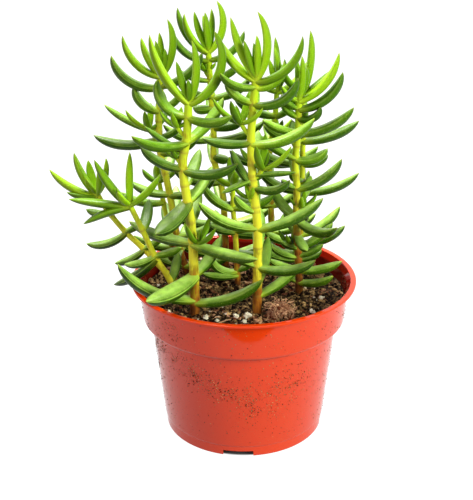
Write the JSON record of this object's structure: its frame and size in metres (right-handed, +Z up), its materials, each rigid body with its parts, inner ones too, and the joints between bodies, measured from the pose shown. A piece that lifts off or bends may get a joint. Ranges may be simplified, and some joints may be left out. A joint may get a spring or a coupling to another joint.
{
  "type": "potted crassula",
  "caption": "Branching succulent with upright leafy stems of slim pointed fleshy leaves, rooted in soil in a tapered plastic nursery pot with a flat lip and a deep collar.",
  "frame": {"origin": "centre of the flat pad under the pot, on the plane that the pot stands on; the pot's axis is the Z axis", "axes": "+Z up along the pot's axis, -Y towards the viewer of the reference picture, +X to the viewer's right"},
  "size_m": [0.1416, 0.105, 0.2012],
  "materials": {
    "pot": "satin orange-red polypropylene",
    "soil": "matt dark brown peat and coir compost",
    "plant": "satin fleshy green leaves on yellow-green to brown stems"
  },
  "bodies": {
    "root": {"pot": "pot", "soil": "soil", "stem_a": "plant", "stem_b": "plant", "stem_c": "plant", "stem_d": "plant", "stem_e": "plant", "stem_f": "plant", "stem_g": "plant", "stem_h": "plant", "stem_i": "plant", "stem_j": "plant", "stem_k": "plant"}
  },
  "joints": []
}
